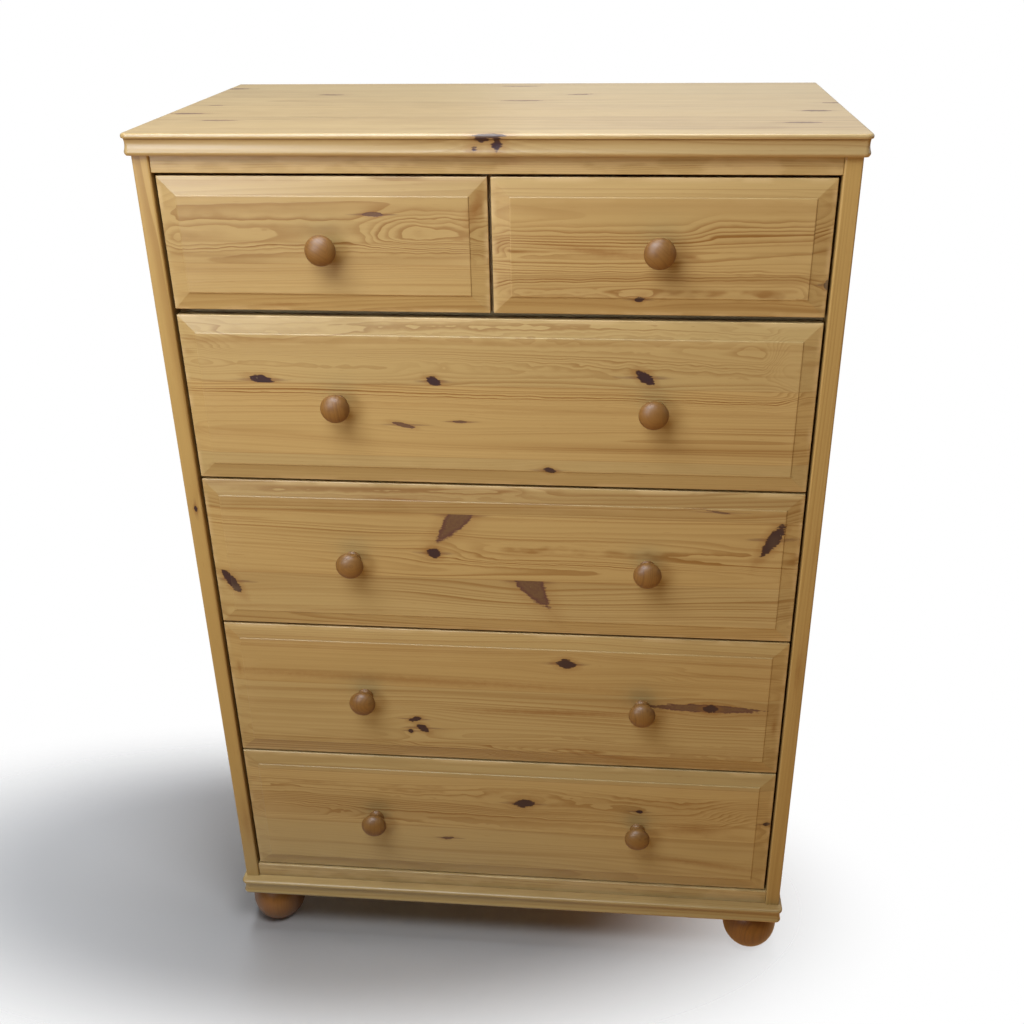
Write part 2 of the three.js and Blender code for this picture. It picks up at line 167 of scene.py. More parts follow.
SWIRLS = {
    "short_drawer_left": [swirl(70, 14, 36, 20, 6), swirl(-207, 8, 20, 18, 4)],
    "short_drawer_right": [
        swirl(46, 20, 20, 14, 2), swirl(-192, 0, 12, 16, 3), swirl(-188, -52, 14, 12, 3),
        swirl(185, -45, -20, 16, 4),
    ],
    "long_drawer_1": [
        swirl(350, 66, -14, 24, 9), swirl(372, 20, -20, 20, 4), swirl(-355, 75, 24, 18, 4),
    ],
    "long_drawer_2": [swirl(-60, 8, 60, 14, 4), swirl(40, 108, -50, 14, 3)],
    "long_drawer_3": [
        swirl(20, -98, 60, 18, 6), swirl(-160, -90, 40, 12, 4), swirl(240, 50, 40, 14, 3),
    ],
    "long_drawer_4": [swirl(330, 30, -40, 22, 6), swirl(-260, 0, 60, 20, 3)],
}

# The v at which one of a board's stave joints runs. Boards that aren't named have one at the middle.
JOINTS = in_metres(short_drawer_left=-22, short_drawer_right=-30, long_drawer_1=26, long_drawer_2=73,
                   long_drawer_3=18, long_drawer_4=-16)


# ---- Colours ----

def srgb(red, green, blue):
    """An sRGB colour given in 0-255 as the linear RGBA that the shaders take."""
    def linear(value):
        value /= 255
        return value / 12.92 if value <= 0.04045 else ((value + 0.055) / 1.055) ** 2.4
    return (linear(red), linear(green), linear(blue), 1.0)


Look = namedtuple("Look", "early late contrast roughness coat")
LOOKS = {
    "carcass_pine": Look(srgb(174, 145, 91), srgb(132, 92, 43), 0.45, 0.34, 0.15),
    "top_pine": Look(srgb(166, 139, 91), srgb(124, 88, 44), 0.60, 0.30, 0.22),
    "front_pine": Look(srgb(174, 145, 91), srgb(132, 92, 43), 0.62, 0.38, 0.15),
    "side_pine": Look(srgb(168, 137, 80), srgb(126, 88, 38), 0.45, 0.36, 0.12),
    "box_pine": Look(srgb(206, 180, 134), srgb(168, 130, 82), 0.55, 0.58, 0.0),
    "drawer_ply": Look(srgb(200, 174, 130), srgb(172, 138, 92), 0.4, 0.6, 0.0),
    "knob_pine": Look(srgb(126, 87, 39), srgb(96, 59, 25), 0.55, 0.46, 0.08),
    "foot_pine": Look(srgb(136, 84, 30), srgb(98, 56, 20), 0.5, 0.36, 0.2),
}
DEAD_KNOT = srgb(46, 27, 33)
DEAD_KNOT_RIM = srgb(58, 29, 27)
LIVE_KNOT = srgb(102, 74, 49)
LIVE_KNOT_RIM = srgb(86, 50, 46)
RESIN = srgb(132, 86, 38)
# Pale wood: flecks in knots, and arrises rubbed pale by wear with a painted highlight on them.
PALE_FLECK_WEAR_AND_HIGHLIGHT = srgb(200, 170, 118)
# Painted shade for quirks, recesses and the edges of fronts that face a gap.
PAINTED_SHADE = srgb(76, 40, 26)


# ---- Node trees: numbers that vary over a surface ----

def operation(kind):
    """A method that adds one kind of Math node."""
    return lambda self, *others: self.math(kind, *others)


class Number:
    """A value that varies over a surface. Arithmetic on it adds Math nodes to its graph."""

    def __init__(self, graph, socket):
        self.graph = graph
        self.socket = socket

    def math(self, kind, *others):
        inputs = dict(enumerate((self,) + others))
        return Number(self.graph, self.graph.node("Math", inputs, operation=kind).outputs[0])

    __add__ = __radd__ = operation("ADD")
    __sub__ = operation("SUBTRACT")
    __mul__ = __rmul__ = operation("MULTIPLY")
    __truediv__ = operation("DIVIDE")
    floor = operation("FLOOR")
    fraction = operation("FRACT")
    root = operation("SQRT")
    size = operation("ABSOLUTE")
    exponential = operation("EXPONENT")
    sine = operation("SINE")
    cosine = operation("COSINE")
    least = operation("MINIMUM")
    above = operation("GREATER_THAN")

    def __rsub__(self, other):
        return (self * -1) + other

    def ramp(self, low, high, start=0.0, end=1.0):
        """A smooth step from start to end as the value goes from low to high."""
        inputs = {"Value": self, "From Min": low, "From Max": high, "To Min": start, "To Max": end}
        node = self.graph.node("MapRange", inputs, interpolation_type="SMOOTHSTEP")
        return Number(self.graph, node.outputs[0])


class Graph:
    """One node tree, with a short call for each kind of node that the materials share."""

    def __init__(self, tree):
        self.tree = tree

    def node(self, kind, inputs=None, **settings):
        made = self.tree.nodes.new("ShaderNode" + kind)
        for name, value in settings.items():
            setattr(made, name, value)
        for name, value in (inputs or {}).items():
            self.feed(made.inputs[name], value)
        return made

    def feed(self, socket, value):
        if isinstance(value, Number):
            value = value.socket
        if isinstance(value, bpy.types.NodeSocket):
            self.tree.links.new(value, socket)
        else:
            socket.default_value = value

    def split(self, vector):
        outputs = self.node("SeparateXYZ", {"Vector": vector}).outputs
        return tuple(Number(self, output) for output in outputs)

    def join(self, x, y, z):
        return self.node("CombineXYZ", {"X": x, "Y": y, "Z": z}).outputs[0]

    def noise(self, x, y, z, detail=2.0, roughness=0.5):
        inputs = {"Vector": self.join(x, y, z), "Scale": 1.0, "Detail": detail, "Roughness": roughness}
        return Number(self, self.node("TexNoise", inputs).outputs[0])

    def randoms(self, x, y, z):
        """Three random numbers from 0 to 1 that depend on nothing but x, y and z."""
        inputs = {"Vector": self.join(x, y, z)}
        return self.split(self.node("TexWhiteNoise", inputs, noise_dimensions="3D").outputs["Color"])

    def mix(self, factor, first, second, blend="MIX"):
        inputs = {"Factor": factor, 6: first, 7: second}    # 6 and 7 are the colour inputs A and B
        return self.node("Mix", inputs, data_type="RGBA", blend_type=blend).outputs[2]

    def deliver(self, **values):
        """Feeds the outputs of a node group, and returns its tree."""
        sink = self.tree.nodes.new("NodeGroupOutput")
        for label, value in values.items():
            self.feed(sink.inputs[label], value)
        return self.tree


# What kind of socket a group has for a name. All others are plain numbers.
SOCKET_KINDS = {"Board": "Vector", "Early": "Color", "Late": "Color", "Color": "Color"}


def node_group(name, inputs, outputs):
    """The graph of a new shader node group, and the values that it is given."""
    tree = bpy.data.node_groups.new(name, "ShaderNodeTree")
    for direction, labels in (("INPUT", inputs), ("OUTPUT", outputs)):
        for label in labels:
            kind = "NodeSocket" + SOCKET_KINDS.get(label, "Float")
            tree.interface.new_socket(label, in_out=direction, socket_type=kind)
    graph = Graph(tree)
    source = tree.nodes.new("NodeGroupInput")
    return graph, [Number(graph, source.outputs[label]) for label in inputs]


# ---- Pine ----

def make_knot_group():
    """How far a point is from one knot and its tail, in knot sizes, and how far the knot pushes the
    grain aside."""
    inputs = ("Board", "U", "V", "W", "Length", "Height", "Depth", "Turn", "Joint")
    graph, given = node_group("knot", inputs, ("Distance", "Tail", "Push"))
    board, u, v, w, length, height, depth, turn, joint = given
    along, across, into = graph.split(board)
    du = along - u
    dv = across - v
    cosine = turn.cosine()
    sine = turn.sine()
    a = (du * cosine + dv * sine) / length
    b = (dv * cosine - du * sine) / height
    c = (into - w) / depth
    calmer = height.ramp(0.0, 0.02, 0.85, 0.4)
    lumps = (graph.noise(along * 150, across * 150, into * 150) - 0.5) * calmer
    spikes = (graph.noise(along * 50, across * 480, into * 480) - 0.5) * calmer
    here = ((across - joint) / STAVE_WIDTH).floor()
    home = ((v - joint) / STAVE_WIDTH).floor()
    other_stave = (here - home).size().above(0.5) * 10
    rounded = (a * a + b * b + c * c).root()
    pointed = a.size() + b.size() + c.size()
    share = height.ramp(0.006, 0.014, 0.15, 0.5)
    distance = rounded + (pointed - rounded) * share + lumps + spikes + other_stave
    # A thin tail of dark fibre runs off along the grain at both ends.
    tail_a = du / (length.least(0.015) * 2.1 + 0.008)
    tail_b = dv / (height * 0.28 + 0.0008)
    tail = (tail_a * tail_a + tail_b * tail_b + c * c).root() + spikes * 1.4 + other_stave
    flow_a = du / (length * 2.4 + 0.010)
    flow_b = dv / (height * 1.6 + 0.004)
    push = dv * 0.85 / (flow_a * flow_a + flow_b * flow_b + 1 + other_stave * 10)
    return graph.deliver(Distance=distance, Tail=tail, Push=push)


def make_swirl_group():
    """Extra rings where the layers of wood bulge round a hidden branch."""
    graph, given = node_group("swirl", ("Board", "U", "V", "Length", "Height", "Rings"), ("Rings",))
    board, u, v, length, height, rings = given
    along, across, into = graph.split(board)
    uneven = graph.noise(along * 28, across * 60, into * 60, 2.0) - 0.5
    a = (along - u) / length + uneven * 0.9
    b = (across - v) / height + uneven * 0.5
    b = b - b.size() * 0.3
    blunt = a.ramp(-1.2, 1.4)
    fading = (a.size() * -0.02 - b * b).exponential()
    return graph.deliver(Rings=rings * blunt * fading)


def make_pine_group():
    """Sawn pine: staves, yearly rings about a pith line, fibres, resin, knots, worn edges with a painted
    highlight, and painted shade in quirks and gaps.
    """
    inputs = ("Board", "Push", "Swirl", "Dead", "Live", "Tail", "Stain", "Joint", "Seed", "Contrast",
              "Roughness", "Early", "Late")
    graph, given = node_group("pine", inputs, ("Color", "Roughness", "Height"))
    board, push, rise, to_dead, to_live, to_tail, to_stain = given[:7]
    joint, seed, depth, dullness, early, dark = given[7:]
    u, plain_v, w = graph.split(board)
    v = plain_v - push

    stave = ((plain_v - joint) / STAVE_WIDTH).floor()
    beside, deep, lean = graph.randoms(stave, seed, 0.3)
    tint, warmth, spacing = graph.randoms(stave, seed, 7.7)
    boldness, _, _ = graph.randoms(stave, seed, 4.1)

    # The pith of the log that the stave was sawn from lies below the face, and leans along it.
    sway = graph.noise(u * 1.6 + seed, v * 5, stave, 1.0) - 0.5
    wobble = graph.noise(u * 5, v * 22 + seed, w * 22, 2.0) - 0.5
    middle = (stave + 0.5) * STAVE_WIDTH + joint
    aside = v - middle - (beside - 0.5) * 0.13 + sway * 0.03
    below = w + deep * deep * 0.10 + 0.012 + u * (lean - 0.5) * 0.075 + sway * 0.012
    radius = (aside * aside + below * below).root()
    good_years = graph.noise(seed + radius * 60, stave, u * 0.7, 2.0)
    rings = radius / (spacing * 0.0020 + 0.0034) + good_years * 5 + rise + wobble * 0.7
    phase = rings.fraction()
    which_ring, _, _ = graph.randoms(rings.floor(), seed, stave)
    late = (phase.ramp(0.25, 0.90) - phase.ramp(0.93, 1.0)) * (which_ring * 0.75 + 0.25)

    fibre = graph.noise(u * 14, v * 520, w * 520 + seed, 3.0, 0.6)
    fleck = graph.noise(u * 55, v * 700 + seed, w * 700, 1.0)
    broad = graph.noise(u * 2.2 + seed, v * 16, w * 16, 2.0)
    band = graph.noise(u * 0.9, v * 34 + seed * 3, w * 34, 2.0)
    stripe = graph.noise(u * 0.6 + seed, v * 95, w * 95, 1.0)
    calm = graph.noise(u * 1.4 + seed * 2, v * 15, w * 15, 1.0).ramp(0.36, 0.62, 0.3, 1.1)
    calm = calm + rise.ramp(0.3, 3.0, 0.0, 0.9)

    contrast = depth * boldness.ramp(0.0, 1.0, 0.5, 1.15) * calm
    colour = graph.mix(late * contrast, early, dark)
    colour = graph.mix(band.ramp(0.52, 0.78, 0.0, 0.36), colour, dark)
    colour = graph.mix(stripe.ramp(0.54, 0.74, 0.0, 0.34), colour, dark)
    colour = graph.mix(fleck.ramp(0.66, 0.80, 0.0, 0.22), colour, RESIN)
    shade = broad * 0.14 + fibre * 0.14 + tint * 0.15 + 0.80
    grey = graph.join(shade, shade * (warmth * 0.05 + 0.975), shade * (warmth * 0.12 + 0.93))
    colour = graph.mix(1.0, colour, grey, "MULTIPLY")

    # A thin line of glue shows between staves.
    from_joint = ((plain_v - joint) / STAVE_WIDTH).fraction()
    to_joint = from_joint.least(1 - from_joint) * STAVE_WIDTH
    colour = graph.mix(to_joint.ramp(0.0003, 0.0008, 0.30, 0.0), colour, RESIN)

    resin = (to_stain * to_stain * -1).exponential() * (band * 0.8 + 0.15)
    colour = graph.mix(resin, colour, RESIN)
    colour = graph.mix(to_tail.ramp(0.4, 1.2, 0.5, 0.0), colour, LIVE_KNOT_RIM)
    bark = graph.noise(u * 300, v * 420, w * 420, 2.0)
    for away, body, rim, reach in ((to_live, LIVE_KNOT, LIVE_KNOT_RIM, 0.25),
                                   (to_dead, DEAD_KNOT, DEAD_KNOT_RIM, 0.40)):
        halo = away.ramp(0.9, 2.2, reach, 0.0)
        colour = graph.mix(halo, colour, RESIN)
        layers = (away * 3.1 + bark * 1.2).fraction().ramp(0.3, 0.95)
        inside = graph.mix(layers * 0.35, body, rim)
        inside = graph.mix(away.ramp(0.66, 0.95), inside, rim)
        inside = graph.mix(bark.ramp(0.70, 0.80, 0.0, 0.4), inside, PALE_FLECK_WEAR_AND_HIGHLIGHT)
        colour = graph.mix(away.ramp(0.88, 1.08, 1.0, 0.0), colour, inside)

    # Arrises are painted pale in places, partly as wear and partly as a painted highlight; quirks,
    # recesses and the edges that face gaps are painted dark as painted shade.
    edge = Number(graph, graph.node("Attribute", attribute_name="edge").outputs["Fac"])
    patchy = graph.noise(u * 22 + seed, v * 60, w * 60, 2.0)
    colour = graph.mix(edge.ramp(0.3, 1.0) * patchy.ramp(0.42, 0.62, 0.10, 0.55), colour, PALE_FLECK_WEAR_AND_HIGHLIGHT)
    colour = graph.mix((edge * -1).ramp(0.2, 1.0) * patchy.ramp(0.2, 0.7, 0.70, 0.40), colour, PAINTED_SHADE)

    knotty = to_dead.least(to_live).ramp(0.85, 1.05, 1.0, 0.0)
    roughness = dullness + (broad - 0.5) * 0.06 + (fibre - 0.5) * 0.08 + knotty * 0.12
    height = late * 0.4 + fibre * 0.4 + broad * 0.1 - knotty * 0.8
    return graph.deliver(Color=colour, Roughness=roughness, Height=height)


def new_material(name):
    """A material with an empty tree but for its Principled shader, which is returned with the graph."""
    made = bpy.data.materials.new(name)
    made.use_nodes = True
    made.node_tree.nodes.clear()
    graph = Graph(made.node_tree)
    shader = graph.node("BsdfPrincipled")
    output = graph.node("OutputMaterial")
    graph.feed(output.inputs["Surface"], shader.outputs[0])
    return made, graph, shader


def object_place(graph):
    return graph.split(graph.node("TexCoord").outputs["Object"])


def coat(graph, shader, colour, roughness, height, distance):
    """Feeds a shader. Its relief is as deep as distance where height is 1."""
    graph.feed(shader.inputs["Base Color"], colour)
    graph.feed(shader.inputs["Roughness"], roughness)
    relief = graph.node("Bump", {"Height": height, "Distance": distance, "Strength": 1.0})
    graph.feed(shader.inputs["Normal"], relief.outputs[0])


# Which of x, y and z run along the grain, across it and into the board.
GRAINS = {
    "front": (0, 2, 1),       # grain along x, face towards the front
    "flat": (0, 1, 2),        # grain along x, face up
    "upright": (2, 1, 0),     # grain along z, face to the side
    "deep": (1, 2, 0),        # grain along y, face to the side
    "turned": (1, 0, 2),      # grain along y, as in a knob
    "post": (2, 0, 1),        # grain along z, as in a foot
}
FAR_OFF = 9.0    # in knot sizes, where there is no knot


def pine(name, slot, grain, middle, seed, knots=(), swirls=(), joint=0.0):
    """The pine of one board. middle is the middle of the board, and knots are measured from it."""
    made, graph, shader = new_material(name)
    look = LOOKS[slot]
    place = object_place(graph)
    along, across, into = (place[axis] - middle[axis] for axis in GRAINS[grain])
    board = graph.join(along, across, into)
    nearest = dict.fromkeys(("Dead", "Live", "Stain", "Tail"), FAR_OFF)
    push = None
    for kind, values in knots:
        group = graph.node("Group", {"Board": board, "Joint": joint, **values}, node_tree=KNOT_GROUP)
        distance, tail, moved = (Number(graph, output) for output in group.outputs)
        nearest[kind] = distance.least(nearest[kind])
        if kind != "Stain":
            nearest["Tail"] = tail.least(nearest["Tail"])
            push = moved if push is None else push + moved
    bulges = None
    for values in swirls:
        group = graph.node("Group", {"Board": board, **values}, node_tree=SWIRL_GROUP)
        extra = Number(graph, group.outputs["Rings"])
        bulges = extra if bulges is None else bulges + extra

    values = {"Board": board, "Push": push or 0.0, "Swirl": bulges or 0.0, "Joint": joint, "Seed": seed,
              "Contrast": look.contrast, "Roughness": look.roughness, "Early": look.early,
              "Late": look.late, **nearest}
    wood = graph.node("Group", values, node_tree=PINE_GROUP)
    shader.inputs["IOR"].default_value = 1.5
    shader.inputs["Coat Weight"].default_value = look.coat
    shader.inputs["Coat Roughness"].default_value = 0.25
    coat(graph, shader, *wood.outputs, 0.12 * MM)
    return made


def chance_knots(seed, length, width, count):
    """Knots for a board that is seldom looked at, strewn at random but the same on each run."""
    dice = random.Random(seed)
    knots = []
    for _ in range(count):
        size = dice.uniform(4, 12)
        place = dice.uniform(-0.46, 0.46) * length / MM, dice.uniform(-0.45, 0.45) * width / MM
        half_sizes = size * dice.uniform(1.1, 1.9), size * dice.uniform(0.5, 0.9)
        turn = dice.uniform(-20, 20)
        knots.append(knot(dice.choice(("Dead", "Live", "Live")), *place, *half_sizes, turn))
    return knots


def hardboard():
    """Brown hardboard: pressed fibres, a little darker in patches."""
    made, graph, shader = new_material("hardboard")
    x, y, z = object_place(graph)
    fibres = graph.noise(x * 700, y * 700, z * 700, 4.0, 0.7)
    patches = graph.noise(x * 6, y * 6, z * 6, 3.0)
    weave_x = (x * 1800).sine()
    weave_z = (z * 1800).sine()
    colour = graph.mix(fibres.ramp(0.3, 0.7), srgb(112, 78, 46), srgb(160, 122, 80))
    colour = graph.mix(patches.ramp(0.4, 0.8, 0.0, 0.4), colour, srgb(104, 70, 40))
    coat(graph, shader, colour, fibres * 0.2 + 0.62, weave_x * weave_z * 0.5 + fibres, 0.2 * MM)
    return made


def steel():
    """Zinc-plated steel, with dull spots."""
    made, graph, shader = new_material("zinc_steel")
    x, y, z = object_place(graph)
    spots = graph.noise(x * 500, y * 500, z * 500, 3.0)
    colour = graph.mix(spots.ramp(0.35, 0.7), srgb(168, 166, 156), srgb(206, 205, 200))
    shader.inputs["Metallic"].default_value = 1.0
    coat(graph, shader, colour, spots * 0.25 + 0.22, spots, 0.03 * MM)
    return made


# ---- Outlines and meshes ----

def arc(centre, radii, start, end, steps):
    """Points on an ellipse, with the angles in degrees."""
    points = []
    for index in range(steps + 1):
        angle = math.radians(start + (end - start) * index / steps)
        points.append((centre[0] + radii[0] * math.cos(angle), centre[1] + radii[1] * math.sin(angle)))
    return points


def bend(start, control, end, steps):
    """Points on a quadratic curve from start to end."""
    corners = (start, control, end)
    points = []
    for index in range(steps + 1):
        t = index / steps
        weights = ((1 - t) ** 2, 2 * t * (1 - t), t * t)
        points.append(tuple(sum(weight * corner[axis] for weight, corner in zip(weights, corners))
                            for axis in (0, 1)))
    return points


def rectangle(low, high, corner):
    """A rectangle with rounded corners, anticlockwise from the corner at low."""
    points = []
    corners = ((low[0], low[1], 1, 1, 180), (high[0], low[1], -1, 1, 270),
               (high[0], high[1], -1, -1, 0), (low[0], high[1], 1, -1, 90))
    for x, y, inward_x, inward_y, angle in corners:
        centre = (x + inward_x * corner, y + inward_y * corner)
        points += arc(centre, (corner, corner), angle, angle + 90, 3)
    return points


def add_object(name, data):
    made = bpy.data.objects.new(name, data)
    bpy.context.scene.collection.objects.link(made)
    return made


def mesh_from(work, name):
    """The mesh of a bmesh, which is freed."""
    made = bpy.data.meshes.new(name)
    work.to_mesh(made)
    work.free()
    return made


def finish_mesh(name, mesh_data, material, body, nodes=()):
    """Makes the object of a finished mesh, which rides on its body and stands for its CAD nodes."""
    mesh_data.materials.append(material)
    mesh_data.shade_smooth()
    mesh_data.set_sharp_from_angle(angle=SMOOTH_ANGLE)
    piece = add_object(name, mesh_data)
    weighted = piece.modifiers.new("flat faces stay flat", "WEIGHTED_NORMAL")
    weighted.keep_sharp = True
    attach(piece, body)
    if nodes:
        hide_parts(*nodes)


def loft(rings, edges=None):
    """A closed mesh through rings of points, capped at both ends. edges marks each ring: above nought
    with wear and a painted highlight, below nought with painted shade.
    """
    points = [point for ring in rings for point in ring]
    count = len(rings[0])
    faces = []
    for level in range(len(rings) - 1):
        for index in range(count):
            following = (index + 1) % count
            first, second = level * count, (level + 1) * count
            faces.append((first + index, first + following, second + following, second + index))
    faces.append(tuple(reversed(range(count))))
    faces.append(tuple((len(rings) - 1) * count + index for index in range(count)))
    made = bpy.data.meshes.new("loft")
    made.from_pydata(points, [], faces)
    work = bmesh.new()
    work.from_mesh(made)
    bmesh.ops.recalc_face_normals(work, faces=work.faces)
    work.to_mesh(made)
    work.free()
    mark = made.attributes.new("edge", "FLOAT", "POINT")
    wear_and_shade = [value for value in (edges or [0.0] * len(rings)) for _ in range(count)]
    mark.data.foreach_set("value", wear_and_shade)
    return made


def lathe(profile, segments, matrix=None):
    """A closed turned mesh. The profile is (radius, height) pairs that start and end on the axis."""
    rings = []
    for radius, height in profile[1:-1]:
        turns = (math.tau * index / segments for index in range(segments))
        rings.append([(radius * math.cos(turn), radius * math.sin(turn), height) for turn in turns])
    made = loft(rings)
    work = bmesh.new()
    work.from_mesh(made)
    caps = [face for face in work.faces if len(face.verts) > 4]
    for cap, (_, height) in zip(caps, (profile[0], profile[-1])):
        poked = bmesh.ops.poke(work, faces=[cap])["verts"][0]
        poked.co.z = height
    if matrix is not None:
        bmesh.ops.transform(work, matrix=matrix, verts=work.verts)
    bmesh.ops.recalc_face_normals(work, faces=work.faces)
    work.to_mesh(made)
    work.free()
    return made


def drill(radius, length, matrix):
    """A cutter for a round hole, which starts at the matrix's place and runs along its Z."""
    return lathe([(0, 0), (radius, 0), (radius, length), (0, length)], SCREW_SEGMENTS, matrix)


def block_mesh(low, high):
    """A plain block, used as a cutter and as the start of softened boards."""
    work = bmesh.new()
    bmesh.ops.create_cube(work, size=1.0)
    size = [high[axis] - low[axis] for axis in range(3)]
    middle = [(high[axis] + low[axis]) / 2 for axis in range(3)]
    place = Matrix.Translation(middle) @ Matrix.Diagonal((*size, 1))
    bmesh.ops.transform(work, matrix=place, verts=work.verts)
    return mesh_from(work, "block")


def softened(source, width, segments=3):
    """A copy of a mesh with every sharp outside corner rounded, and marked to be painted pale, as wear
    and as a painted highlight.
    """
    work = bmesh.new()
    points = [work.verts.new(vertex.co) for vertex in source.vertices]
    for polygon in source.polygons:
        work.faces.new([points[index] for index in polygon.vertices])
    bmesh.ops.remove_doubles(work, verts=work.verts, dist=1e-6)
    bmesh.ops.dissolve_limit(work, angle_limit=math.radians(1), verts=work.verts, edges=work.edges)
    mark = work.verts.layers.float.new("edge")
    sharp = [edge for edge in work.edges if edge.is_manifold and edge.calc_face_angle_signed() > 0.5]
    rounded = bmesh.ops.bevel(work, geom=sharp, offset=width, segments=segments, profile=0.5,
                              affect="EDGES", clamp_overlap=True)
    for vertex in rounded["verts"]:
        vertex[mark] = 0.8
    return mesh_from(work, "board")


def cut(mesh_data, cutters):
    """The mesh with the cutters' shapes taken out of it."""
    body = add_object("cut body", mesh_data)
    tools = []
    for cutter in cutters:
        tool = add_object("cutter", cutter)
        tools.append(tool)
        difference = body.modifiers.new("cut", "BOOLEAN")
        difference.operation = "DIFFERENCE"
        difference.solver = "EXACT"
        difference.object = tool
    bpy.context.view_layer.update()
    shaped = body.evaluated_get(bpy.context.evaluated_depsgraph_get())
    made = bpy.data.meshes.new_from_object(shaped)
    for used in [body] + tools:
        bpy.data.objects.remove(used)
    return made


# ---- The pieces of the carcass ----

def middle_of(node):
    low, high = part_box(node)
    return (low + high) / 2


def board_pine(node, look, grain):
    """The pine of a board that shows, with the knots and swirls written down for it."""
    seed = float(sorted(KNOTS).index(node) + 1) * 1.37
    return pine(f"{look}_{node}", look, grain, middle_of(node), seed, KNOTS[node], SWIRLS.get(node, ()),
                JOINTS.get(node, 0.0))


def plain_pine(node, slot, grain, seed, count=3):
    """The pine of a board inside, with knots strewn by chance."""
    low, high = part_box(node)
    along, across, _ = GRAINS[grain]
    size = high - low
    knots = chance_knots(seed, size[along], size[across], count)
    return pine(f"{slot}_{node}", slot, grain, middle_of(node), seed * 0.73, knots)


def facing_front(x, y, z):
    """The place of a turned piece whose axis points towards the front."""
    return Matrix.Translation((x, y, z)) @ Matrix.Rotation(math.pi / 2, 4, "X")


def soften_node(node, look, body, kind="board"):
    """Stands for a CAD board or sheet with a copy whose arrises are rounded."""
    width, segments = (SHEET_ARRIS, 2) if kind == "sheet" else (BOARD_ARRIS, 3)
    shape = softened(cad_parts[node].data, width, segments)
    finish_mesh(f"{node}_{kind}", shape, look, body, [node])


def moulding_section(thickness):
    """The moulded edge as (inset, height, mark), from the upper arris down. The arrises are marked for
    wear and a painted highlight, the quirk for painted shade.
    """
    crown, lip, quirk = MOULDING["crown"], MOULDING["lip"], MOULDING["quirk"]
    hollow, bead, bead_height = MOULDING["hollow"], MOULDING["bead"], MOULDING["bead_height"]
    quirk_height = thickness - lip - 1 * MM
    hollow_control = 2 * hollow - (quirk + bead) / 2
    section = [(inset, height, 0.5) for inset, height in
               bend((crown, thickness), (0, thickness), (0, thickness - crown), 8)]
    section.append((0.4 * MM, thickness - lip, 0.2))
    # The quirk is marked for painted shade.
    section.append((quirk, quirk_height, -1.0))
    cove = bend((quirk, quirk_height), (hollow_control, (quirk_height + bead_height) / 2),
                (bead, bead_height), 10)
    section += [(inset, height, 0.0) for inset, height in cove[1:]]
    nose = bend((bead, bead_height), (bead - 0.6 * MM, bead_height / 2), (hollow, 0), 8)
    section += [(inset, height, 0.4) for inset, height in nose[1:]]
    return section


def moulded_board(node, holes=()):
    """A board with its moulding along the front and both ends, and a square rear edge."""
    low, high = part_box(node)
    rings, wear_and_shade_rings = [], []
    for inset, height, wear_and_shade in moulding_section(high.z - low.z):
        corner = CORNER - inset
        ring = [(low.x + inset, high.y)]
        ring += arc((low.x + CORNER, low.y + CORNER), (corner, corner), 180, 270, 8)
        ring += arc((high.x - CORNER, low.y + CORNER), (corner, corner), 270, 360, 8)
        ring.append((high.x - inset, high.y))
        rings.append([(x, y, low.z + height) for x, y in ring])
        wear_and_shade_rings.append(wear_and_shade)
    board = loft(rings, wear_and_shade_rings)
    return cut(board, holes) if holes else board


def make_boards():
    top = moulded_board("top_panel")
    finish_mesh("top_board", top, board_pine("top_panel", "top_pine", "flat"), "carcass",
                ["top_panel"])

    holes = []
    base_low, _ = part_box("base_board")
    for bolt in foot_names("foot_bolt"):
        place = middle_of(bolt)
        sink = Matrix.Translation((place.x, place.y, base_low.z - OVERSHOOT))
        holes.append(drill(FOOT["hole"], BOLT_HOLE_DEPTH + OVERSHOOT, sink))
    base = moulded_board("base_board", holes)
    finish_mesh("base_plinth_board", base, board_pine("base_board", "carcass_pine", "flat"), "carcass",
                ["base_board"])


def make_side(node, sign):
    """A side panel: rounded front arrises and the groove that holds the back panel."""
    low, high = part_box(node)
    outer = high.x if sign > 0 else -low.x
    inner = outer - SIDE_THICKNESS
    front, rear = low.y, high.y
    groove = rear - BACK_GROOVE["from_rear"]
    groove_end = groove + BACK_GROOVE["width"]
    groove_floor = inner + BACK_GROOVE["depth"]
    small = BOARD_ARRIS
    outline = arc((inner + SIDE_ARRIS, front + SIDE_ARRIS), (SIDE_ARRIS, SIDE_ARRIS), 180, 270, 5)
    outline += arc((outer - SIDE_ARRIS, front + SIDE_ARRIS), (SIDE_ARRIS, SIDE_ARRIS), 270, 360, 5)
    outline += arc((outer - small, rear - small), (small, small), 0, 90, 3)
    outline += arc((inner + small, rear - small), (small, small), 90, 180, 3)
    outline += [(inner, groove_end), (groove_floor, groove_end), (groove_floor, groove), (inner, groove)]
    rings = [[(sign * x, y, z) for x, y in outline] for z in (low.z, high.z)]
    side = loft(rings)
    # The front arris and the rear edge are marked to be painted pale, as wear and a painted highlight.
    marked = side.attributes["edge"].data
    for vertex in side.vertices:
        on_front_arris = 0.1 * SIDE_ARRIS < vertex.co.y - front < 0.9 * SIDE_ARRIS
        near_rear = vertex.co.y > rear - small
        marked[vertex.index].value = 0.5 if on_front_arris or near_rear else 0.0
    finish_mesh(f"{node}_board", side, board_pine(node, "side_pine", "upright"), "carcass",
                [node])


